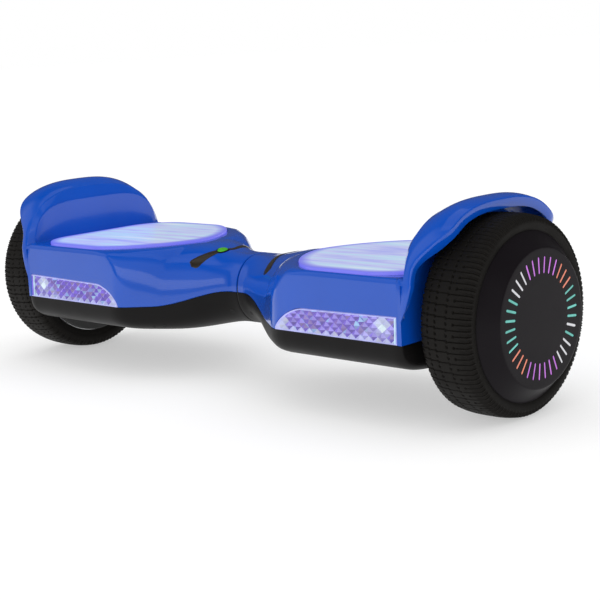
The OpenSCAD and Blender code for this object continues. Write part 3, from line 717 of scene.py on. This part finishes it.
def foot_pad():
    base = pad_low[2]
    rings = [(11, base), (0, base), (0, pad_top - 0.9), (0.15, pad_top - 0.45), (0.5, pad_top - 0.12),
             (1.1, pad_top), (2.2, pad_top), (4, pad_top), (7, pad_top), (12, pad_top), (20, pad_top),
             (32, pad_top), (46, pad_top), (60, pad_top)]
    loops = [np.column_stack([pad_outline(i), np.full(len(pad_outline(i)), z)]) for i, z in rings]
    n = len(loops[0])
    faces = grid_faces(len(loops), n, wrap_columns=True)
    faces += [list(range(n)), list(range((len(loops) - 1) * n, len(loops) * n))]
    inset = np.repeat([0 if z < pad_top else i for i, z in rings], n) / 60
    return np.concatenate(loops), faces, inset


pad_points, pad_faces, pad_inset = foot_pad()
for pad in add_pair("pad_mat", pad_points, pad_faces, "pad", pad_finish, "foot_pad", "pad_white", crease=50):
    layer = pad.data.attributes.new("inset", "FLOAT", "POINT")
    layer.data.foreach_set("value", pad_inset.astype(np.float32))

# ---- headlamp lenses ----

FACET_W, FACET_H = 9.6, 7.4
rim_w = 0.9              # width of the clear frame round a lens
random = np.random.default_rng(7)


def lens_outline(inset):
    """Outline of a headlamp lens, its corners clockwise from the lower inner end: [x, z]."""
    end = lens_high[0] - inset
    low = lens_low[2] + inset
    xs = lens_low[0] + inset + (end - lens_low[0] - inset) * np.linspace(0, 1, 40) ** 2
    slid = xs - inset * ease(lens_low[0], lens_low[0] + 20, xs)
    rise = np.maximum([lens_top(x) - 0.3 - inset for x in slid], low + 0.1)
    return np.concatenate([[[xs[0], low]], np.column_stack([xs, rise]), [[end, low]]])


def face_y(z):
    return -(half_d - 2.5 * (z - seam_z) / (deck_z - 5 - seam_z))


def hull(line):
    """Convex outline round the points of an outline that starts at its lower inner corner."""
    kept = []
    for p in line[1:]:
        while len(kept) > 1:
            (ax, az), (bx, bz) = kept[-1] - kept[-2], p - kept[-1]
            if ax * bz - az * bx <= -1e-9:
                break
            kept.pop()
        kept.append(p)
    return np.array([line[0]] + kept)


def clip(polygon, outline):
    """Part of a polygon of [x, z, depth] inside a convex outline that runs clockwise."""
    for a, b in zip(outline, np.roll(outline, -1, axis=0)):
        if np.hypot(*(b - a)) < 1e-6 or not len(polygon):
            continue
        kept = []
        side = [(b[0] - a[0]) * (p[1] - a[1]) - (b[1] - a[1]) * (p[0] - a[0]) for p in polygon]
        for k, p in enumerate(polygon):
            q, s, t = polygon[(k + 1) % len(polygon)], side[k], side[(k + 1) % len(polygon)]
            if s <= 0:
                kept.append(p)
            if s * t < 0:
                kept.append(p + (q - p) * s / (s - t))
        polygon = kept
    return polygon


# Painted shade and light of the prism facets: the lower facets of each pyramid are painted shaded, the upper
# left one half lit and the upper right one lit.
SHADED_FACET, HALF_LIT_FACET, LIT_FACET = (0.13, 0.08, 0.46), (0.22, 0.15, 0.70), (0.36, 0.30, 0.85)
# Bright spots of the lamps behind the prisms: x, z, half width, half height, strength
SPOTS = ((229, 86, 6.5, 6.5, 1.0), (115, 80, 5, 5, 0.75), (212, 79, 4, 4, 0.35))


def facet_tint(x, z, shade):
    """Colour of one facet of the prism at (x, z): painted shade or light for the side it faces, a painted
    cyan-white reflection on a few facets, a darker grey on some at random, then the lamps' bright spots and a
    bright band along the lower edge laid over it.
    """
    base = np.array(shade) * random.uniform(0.8, 1.15)
    chance = random.random()
    # A few facets get a painted cyan-white reflection.
    if chance > 0.9:
        base = mix(base, np.array([0.40, 0.75, 1.0]), random.uniform(0.2, 0.7))
    elif chance < 0.15:
        base = mix(base, np.array([0.25, 0.17, 0.33]), 0.6)
    hot = sum(power * math.exp(-((x - a) / wide) ** 2 - ((z - b) / tall) ** 2)
              for a, b, wide, tall, power in SPOTS)
    hot += 0.45 * math.exp(-((z - lens_low[2]) / 2.2) ** 2)
    return np.clip(mix(base, np.array([0.80, 0.95, 1.0]), min(1, hot)), 0, 1)


def headlamp_lens():
    points, faces, tints = [], [], []
    window = lens_outline(rim_w - 0.2)
    end_bar = lens_high[0] - 6
    window = window[window[:, 0] <= end_bar]
    window = hull(np.concatenate([window, [[end_bar, window[-1, 1]], [end_bar, window[0, 1]]]]))
    low, high = window.min(0), window.max(0)
    for j in range(-1, int((high[1] - low[1]) / FACET_H * 2) + 2):
        for i in range(-1, int((high[0] - low[0]) / FACET_W) + 2):
            cx, cz = low[0] + (i + 0.5 * (j % 2)) * FACET_W, low[1] + j * FACET_H / 2
            apex = np.array([cx, cz, 0.25])
            ring = np.array([(cx, cz - FACET_H / 2, 2.3), (cx - FACET_W / 2, cz, 2.3),
                             (cx, cz + FACET_H / 2, 2.3), (cx + FACET_W / 2, cz, 2.3)])
            # Each facet's colour is painted shade or painted light for the side of the pyramid it is on.
            for k, shade in enumerate((SHADED_FACET, HALF_LIT_FACET, LIT_FACET, SHADED_FACET)):
                cut = clip([ring[k], ring[(k + 1) % 4], apex], window)
                if len(cut) < 3:
                    continue
                faces.append(range(len(points), len(points) + len(cut)))
                points += [(p[0], face_y(p[1]) + p[2], p[1]) for p in cut]
                tints.append(facet_tint(cx, cz, shade))
    return points, faces, tints, window


def lens_rim():
    """The clear frame round the facets, and the upright prisms at its outboard end."""
    def ring(inset, back):
        line = lens_outline(inset)
        return np.column_stack([line[:, 0], face_y(line[:, 1]) + back, line[:, 1]])
    loops = [ring(rim_w, 2.9), ring(rim_w, 0.5), ring(rim_w * 0.7, 0.12), ring(0.3, 0.12), ring(0.0, 0.5),
             ring(0.0, 6.0), ring(rim_w, 6.0)]
    n = len(loops[0])
    return np.concatenate(loops), grid_faces(len(loops), n, wrap_rows=True, wrap_columns=True)


facet_points, facet_faces, facet_tints_and_shade, facet_window = headlamp_lens()


def end_prisms():
    """Upright round prisms between the facets and the outboard end, each painted lighter down its middle and
    shaded towards its sides.
    """
    points, faces, tints = [], [], []
    x0, x1 = facet_window[:, 0].max(), lens_high[0] - rim_w
    steps, count = 8, 2
    low, high = lens_low[2] + rim_w, lens_top(x0) - 0.3 - rim_w
    for k in range(count):
        a, b = mix(x0, x1, k / count), mix(x0, x1, (k + 1) / count)
        tint = np.array([(0.55, 0.75, 1.0), (0.22, 0.14, 0.85)][k])
        for s in range(steps):
            faces.append(range(len(points), len(points) + 4))
            for t, z in ((s, low), (s + 1, low), (s + 1, high), (s, high)):
                t /= steps
                points.append((mix(a, b, t), face_y(z) + 2.2 - 1.8 * math.sin(math.pi * t), z))
            # Painted shade towards the sides of each round prism, painted light down its middle.
            tints.append(tint * mix(0.55, 1.1, math.sin(math.pi * s / steps)))
    return points, faces, tints


bar_points, bar_faces, end_prism_tints_and_shade = end_prisms()
lens_points = list(facet_points) + [tuple(p) for p in bar_points]
lens_faces = [list(f) for f in facet_faces] + [[i + len(facet_points) for i in f] for f in bar_faces]
lens_tints_and_shade = np.array(facet_tints_and_shade + end_prism_tints_and_shade)


def paint(piece, tints):
    """A colour for each face, which the glowing finishes read; on the lenses it also holds painted shade and
    light.
    """
    layer = piece.data.attributes.new("tint", "FLOAT_COLOR", "FACE")
    colours = np.column_stack([np.clip(tints, 0, 1), np.ones(len(tints))])
    layer.data.foreach_set("color", colours.astype(np.float32).ravel())


for facets in add_pair("lens_prisms", lens_points, lens_faces, "half", prism_finish, slot="lens_clear",
                       closed=False):
    facets.data.shade_flat()
    paint(facets, lens_tints_and_shade)
for rim in add_pair("lens_frame", *lens_rim(), "half", prism_finish, "headlamp_lens", "lens_clear",
                    crease=35):
    paint(rim, np.tile([0.50, 0.52, 0.95], (len(rim.data.polygons), 1)))

# ---- tyres ----

PITCHES = 56             # blocks round the tyre
STEPS = 14               # steps round the tyre in one block
DOT_LINES = np.array([271.0, 279.0, 290.0])
SIPE_LINE = 297.0        # half-pitch cuts run from here to the outer edge
BAND_SHIFT = np.array([0, 1, 2, 3]) / STEPS


def tread_depth(x, turn):
    """Depth of the tread's grooves at x, where turn counts blocks round the tyre."""
    turn = turn + BAND_SHIFT[np.searchsorted(DOT_LINES, x)]

    def cut(turn, half_width):
        return np.clip(half_width - np.abs(turn % 1.0 - 0.5) * STEPS, 0, 1)

    across = cut(turn, 1.0) * 0.9
    sipe = cut(turn + 0.5, 1.0) * ease(SIPE_LINE, SIPE_LINE + 0.8, x) * 0.9
    tooth = cut(turn * 2, 3.4) * (ease(301, 304, x) + 1 - ease(264.5, 267, x)) * 0.8
    off_line = np.min(np.abs(x[..., None] - DOT_LINES), -1)
    dots = np.clip(1.5 - off_line / 0.8, 0, 1) * np.maximum(cut(turn, 1.8), cut(turn + 0.5, 1.8)) * 1.8
    dots = np.maximum(dots, np.clip(1.5 - np.abs(x - SIPE_LINE) / 0.8, 0, 1) * cut(turn + 0.5, 1.8) * 1.8)
    return np.maximum(np.maximum(across, sipe), np.maximum(tooth, dots))


def tyre():
    low, high = tyre_low[0], tyre_high[0]
    # The sidewall from the bead to the tread's edge: how far it lies inside the tyre's width, and its radius
    wall_line = [(3.6, 66.05), (2.2, 68.4), (1.4, 70.6), (1.55, 71.0), (1.3, 71.5), (0.5, 73), (0.2, 74.5),
                 (0, 76.5), (0, 78), (0.15, 78.9), (0.35, 79.6), (0.6, 80.4), (1.0, 81.2), (1.6, 82.0),
                 (2.4, 82.7), (3.4, 83.3)]

    def side(x, s):
        return [(x + step * s, radius) for step, radius in wall_line]
    tread = [(x, tyre_r - 1.6 * abs((x - (low + high) / 2) / ((high - low) / 2 - 4.4)) ** 3)
             for x in np.linspace(low + 4.4, high - 4.4, 58)]
    profile = np.array(side(low, 1) + tread + side(high, -1)[::-1])
    steps = PITCHES * STEPS
    turn = np.arange(steps) / STEPS
    x, r = profile[:, :1] + 0 * turn, profile[:, 1:] + 0 * turn
    slope = np.gradient(profile, axis=0)
    normal = np.stack([-slope[:, 1], slope[:, 0]], -1)
    normal /= np.linalg.norm(normal, axis=1, keepdims=True)
    cut = tread_depth(x, turn[None, :] + 0 * x) * ease(77.5, 79.5, r)
    x, r = x - normal[:, :1] * cut, r - normal[:, 1:] * cut
    a = turn / PITCHES * 2 * math.pi
    points = np.stack([x, r * np.sin(a), axle_h + r * np.cos(a)], -1).reshape(-1, 3)
    return points, grid_faces(len(profile), steps, wrap_rows=True, wrap_columns=True)


add_pair("tyre_tread", *tyre(), "wheel", tyre_rubber, "tyre", "tyre_rubber", crease=40)

# ---- hub covers with their ring of light bars ----

SLOTS = 36
SLOT_PHASE = 7           # degrees from straight up to the first bar
slot_r0, slot_r1, slot_half = 36.7, 50.7, 1.15
cover_t = 2.3


def hub_cover():
    """Domed cover: a disc cut by rounded slots, and the flank that turns back to the tyre."""
    caps = slot_half * (1 - np.cos(np.linspace(0, math.pi / 2, 5)))
    radii = [8, 16, 24, 30, 34, *(slot_r0 + caps), 40, 43.7, 47.4, *(slot_r1 - caps)[::-1], 53, 55.5]
    # Outside and inside of the flank: radius, and depth below the hub's face
    flank = [(57.0, 0.02), (57.9, 0.12), (58.5, 0.5), (59.1, 1.2), (60.2, 2.5), (62, 4.6), (64.4, 7.2),
             (66.8, 9.6), (68.8, 11.3), (70.1, 12.3), (70.9, 13.0), (71.4, 13.8), (71.4, 14.6)]
    back = [(69.6, 14.6), (66.8, 12.2), (62.4, 8.2), (59, 4.6), (56.4, 2.35)]
    points = []
    half_widths = []
    for r in radii:
        e = min(r - slot_r0, slot_r1 - r)
        if e <= 1e-9:
            half_widths.append(0.0)
        else:
            half_widths.append(math.sqrt(slot_half ** 2 - max(slot_half - e, 0) ** 2))
    columns = SLOTS * 6
    for depth in (0, cover_t):
        for r, w in zip(radii, half_widths):
            for k in range(SLOTS):
                mid = math.radians(SLOT_PHASE + 360 / SLOTS * k)
                half = math.asin(max(w, 0.002) / r)
                step = math.radians(180 / SLOTS)
                for a in (mid - half, mid + half, mix(mid + half, mid + step, 0.5), mid + step,
                          mid + step + (step - half) * 0.25, mid + 2 * step - half - (step - half) * 0.25):
                    points.append((hub_x - depth, r * math.sin(a), axle_h + r * math.cos(a)))
    rows = len(radii)
    first = radii.index(min(radii, key=lambda r: abs(r - slot_r0)))
    last = len(radii) - 3
    skip = [(i, 6 * k) for i in range(first, last) for k in range(SLOTS)]
    faces = grid_faces(rows, columns, wrap_columns=True, skip=skip)
    inner = [[i + rows * columns for i in f][::-1] for f in faces]
    walls = []
    for k in range(SLOTS):
        left = [i * columns + 6 * k for i in range(first, last + 1)]
        right = [i * columns + 6 * k + 1 for i in range(first, last + 1)]
        for line in (left, right[::-1]):
            walls += [(a, b, b + rows * columns, a + rows * columns) for a, b in zip(line, line[1:])]
    faces = faces + inner + walls
    start = len(points)
    faces.append(list(range(columns)))
    faces.append([rows * columns + j for j in range(columns)][::-1])
    ring = [math.atan2(points[(rows - 1) * columns + j][1], points[(rows - 1) * columns + j][2] - axle_h)
            for j in range(columns)]
    for r, depth in flank + back:
        points += [(hub_x - depth, r * math.sin(a), axle_h + r * math.cos(a)) for a in ring]
    loops = [(rows - 1) * columns] + [start + k * columns for k in range(len(flank) + len(back))] \
        + [rows * columns + (rows - 1) * columns]
    for a, b in zip(loops, loops[1:]):
        faces += [(a + j, a + (j + 1) % columns, b + (j + 1) % columns, b + j) for j in range(columns)]
    return points, faces


def light_bars():
    """Rounded bars that fill the slots, a little below the cover's face, each in its own colour."""
    violet, orange = (0.62, 0.16, 0.85), (0.95, 0.22, 0.13)
    teal, pale = (0.12, 0.55, 0.46), (0.70, 0.70, 0.74)
    # Bars of one colour in a row: first bar, bar after the last, colour
    runs = [(0, 3, violet), (3, 6, orange), (6, 10, teal), (10, 11, pale), (11, 12, teal), (12, 15, pale),
            (15, 21, violet), (21, 24, orange), (24, 30, teal), (30, 33, pale), (33, 36, violet)]
    points, faces, tints = [], [], []
    half = slot_half - 0.12
    for first, last, tint in runs:
        for k in range(first, last):
            mid = math.radians(SLOT_PHASE + 360 / SLOTS * k)
            a = np.linspace(-math.pi / 2, math.pi / 2, 7)
            line = [(slot_r1 - 0.12 - half + half * math.cos(t), half * math.sin(t)) for t in a]
            line += [(slot_r0 + 0.12 + half - half * math.cos(t), -half * math.sin(t)) for t in a]
            n, start = len(line), len(points)
            for x, shrink in ((hub_x - cover_t, 1.0), (hub_x - 0.55, 1.0), (hub_x - 0.3, 0.8)):
                points += [(x, (u * math.sin(mid) + v * shrink * math.cos(mid)),
                            axle_h + u * math.cos(mid) - v * shrink * math.sin(mid)) for u, v in line]
            made = [(start + i * n + j, start + i * n + (j + 1) % n, start + (i + 1) * n + (j + 1) % n,
                     start + (i + 1) * n + j) for i in range(2) for j in range(n)]
            made += [list(range(start + 2 * n, start + 3 * n)), list(range(start, start + n))]
            faces += made
            tints += [np.array(tint) * random.uniform(0.8, 1.1)] * len(made)
    return points, faces, np.array(tints)


add_pair("hub_dome", *hub_cover(), "wheel", hub_black, "hub_cover", "hub_black", crease=40)
light_points, light_faces, light_tints = light_bars()
for bars in add_pair("light_bars", light_points, light_faces, "wheel", bar_finish, "hub_light", "light_guide",
                     crease=40):
    paint(bars, light_tints)

# ---- arrows on the necks and the status lamp ----


def arrow():
    """Smoked strip over the neck: narrow at its point, wide and rounded at both ends."""
    tip, reach, steps, across = 36, 44, 61, 9
    points = []
    for k in range(steps):
        t = -1 + 2 * k / (steps - 1)
        x = tip + 15 * abs(t) ** 1.2
        half = 2.4 + 3.2 * abs(t) ** 1.3
        end = (1 - abs(t)) * reach
        half *= math.sqrt(1 - (1 - min(1, end / 4.5)) ** 2) * 0.985 + 0.015
        for j in range(across):
            s = -1 + 2 * j / (across - 1)
            px, py = x + half * s, reach * t
            lift = 0.12 + 0.5 * (1 - abs(s) ** 6) * (1 - (1 - min(1, end / 1.5)) ** 2)
            points.append((px, py, roof_at(px, py) + lift * 0.9))
    points = np.array(points)
    under = points - [0, 0, 0.8]
    faces = grid_faces(steps, across)
    faces += [[i + steps * across for i in f][::-1] for f in faces]
    rim = list(range(across)) + [i * across + across - 1 for i in range(1, steps)]
    rim += [(steps - 1) * across + j for j in range(across - 2, -1, -1)]
    rim += [i * across for i in range(steps - 2, 0, -1)]
    faces += [(a, b, b + steps * across, a + steps * across) for a, b in zip(rim, rim[1:] + rim[:1])]
    return np.concatenate([points, under]), faces


add_pair("arrow_strip", *arrow(), "half", strip_gloss, "arrow", "black_shell", crease=45)


def lens_dome(x, y, wide, long, lift, height):
    """A low oval dome that lies on the neck, long across it."""
    points = []
    rings = [(1.0, -0.4), (1.0, 0.1), (0.96, 0.45), (0.85, 0.75), (0.6, 0.95), (0.3, 1.0)]
    n = 28
    for share, rise in rings:
        for k in range(n):
            a = 2 * math.pi * k / n
            px, py = x + wide * share * math.cos(a), y + long * share * math.sin(a)
            points.append((px, py, roof_at(px, py) + lift + height * rise))
    faces = grid_faces(len(rings), n, wrap_columns=True)
    faces += [list(range(n)), list(range((len(rings) - 1) * n, len(rings) * n))]
    return points, faces


status_low, status_high = corners("status_lens")
status_x, status_y = abs(status_low[0] + status_high[0]) / 2, (status_low[1] + status_high[1]) / 2
for name, size, finish, cad, slot in (
        ("status_bezel", (5.6, 7.4, 0.3, 0.5), black, (), "black_shell"),
        ("status_glow", (4.2, 5.8, 0.75, 0.8), green_finish, ["status_lens"], "green_lens")):
    points, faces = lens_dome(status_x, status_y, *size)
    points = np.array(points) * [-1, 1, 1]
    add_mesh(name, points, [f[::-1] for f in faces], "left_half", finish, cad, crease=45)

# ---- finishes of the CAD nodes that stay ----

finishes = {
    "blue_shell": blue, "black_shell": black, "hub_black": hub_black, "pad_white": pad_finish,
    "lens_clear": prism_finish, "tyre_rubber": tyre_rubber, "black_rubber": soft_rubber,
    "circuit_board": board, "cast_aluminium": aluminium, "steel": steel, "copper": copper, "bronze": bronze,
    "battery_wrap": wrap, "light_guide": bar_finish, "green_lens": green_finish,
}
for entry in frame["record"]["materials"]:
    for node in entry.get("nodes", []):
        cad = frame["nodes"][node]
        if cad.hide_render:
            continue
        cad.data.materials.clear()
        cad.data.materials.append(finishes[entry["slot"]])

# ---- floor, light and camera ----


def plain(name, tint, rough):
    f = Finish(name, Roughness=rough, Specular_IOR_Level=0.0)
    f.link(f.ramp(f.noise(3, 2), (0.3, tuple(0.98 * t for t in tint)), (0.7, tint)), "Base Color")
    f.shader.inputs["Emission Color"].default_value = (1, 1, 1, 1)
    f.shader.inputs["Emission Strength"].default_value = 0.45
    return f.material


floor_mesh = bpy.data.meshes.new("floor")
corner = 30              # metres from the middle of the floor to its edges
floor_mesh.from_pydata([(x * corner, y * corner, 0) for x, y in ((-1, -1), (1, -1), (1, 1), (-1, 1))],
                       [], [(0, 1, 2, 3)])
floor_mesh.materials.append(plain("pale_floor", (0.6, 0.6, 0.6), 0.9))
floor = bpy.data.objects.new("floor", floor_mesh)
bpy.context.scene.collection.objects.link(floor)


def softbox(name, place, aim, width, height, power):
    light = bpy.data.lights.new(name, "AREA")
    light.shape = "RECTANGLE"
    light.size, light.size_y = width, height
    light.energy = power
    lamp = bpy.data.objects.new(name, light)
    lamp.location = place
    lamp.rotation_mode = "QUATERNION"
    lamp.rotation_quaternion = (Vector(aim) - Vector(place)).to_track_quat("-Z", "Y")
    bpy.context.scene.collection.objects.link(lamp)


middle = (0, 0, 0.1)
softbox("front_box", (0.5, -2.4, 0.9), middle, 1.8, 0.9, 5)
softbox("top_box", (0.0, 0.3, 2.6), middle, 2.4, 2.4, 6)


class Studio(Tree):
    """White surroundings for the eye and for soft light; bright panels on dark for reflections."""

    def __init__(self):
        world = bpy.data.worlds.new("studio")
        bpy.context.scene.world = world
        super().__init__(world)
        self.nodes.clear()
        direction = self.make("TexCoord", {}, "Generated")
        x, y, z = (self.make("SeparateXYZ", {0: direction}, axis) for axis in "XYZ")
        angle = self.math("ARCTAN2", x, self.math("MULTIPLY", y, -1.0))
        turn = self.math("MULTIPLY_ADD", angle, 0.5 / math.pi, 0.5)
        around = self.ramp(turn, (0.26, 0.10), (0.30, 0.55), (0.405, 0.62), (0.425, 0.16), (0.455, 0.16),
                           (0.475, 0.62), (0.66, 0.55), (0.72, 0.12))
        height = self.ramp(z, (0.0, 0.75), (0.5, 1.0), (0.74, 0.95), (0.86, 0.3))
        gloss = self.math("MULTIPLY", around, height)
        glossy, camera = (self.make("LightPath", {}, f"Is {ray} Ray") for ray in ("Glossy", "Camera"))
        lit = self.mix(glossy, self.background(0.95), self.background(gloss))
        out = self.nodes.new("ShaderNodeOutputWorld")
        self.links.new(self.mix(camera, lit, self.background(1.0)), out.inputs[0])

    def math(self, operation, *values):
        return self.make("Math", dict(enumerate(values)), 0, operation=operation)

    def background(self, strength):
        return self.make("Background", {"Color": rgba(1), "Strength": strength}, 0)

    def mix(self, factor, a, b):
        return self.make("MixShader", {0: factor, 1: a, 2: b}, 0)


Studio()
bpy.context.scene.view_settings.view_transform = "Standard"

azimuth, elevation, roll = (math.radians(d) for d in (44.30, 10.22, -3.27))
eye = (0.9845, -0.9576, 0.3184)
back = Vector((math.sin(azimuth) * math.cos(elevation), -math.cos(azimuth) * math.cos(elevation),
               math.sin(elevation)))
level = (-back).cross(Vector((0, 0, 1))).normalized()
upward = level.cross(-back)
right = math.cos(roll) * level + math.sin(roll) * upward
upward = -math.sin(roll) * level + math.cos(roll) * upward
lens = bpy.data.cameras.new("camera")
lens.lens, lens.sensor_width = 86.56, 36
camera = bpy.data.objects.new("camera", lens)
turn = Matrix((right, upward, back)).transposed().to_4x4()
camera.matrix_world = Matrix.Translation(eye) @ turn
bpy.context.scene.collection.objects.link(camera)
bpy.context.scene.camera = camera
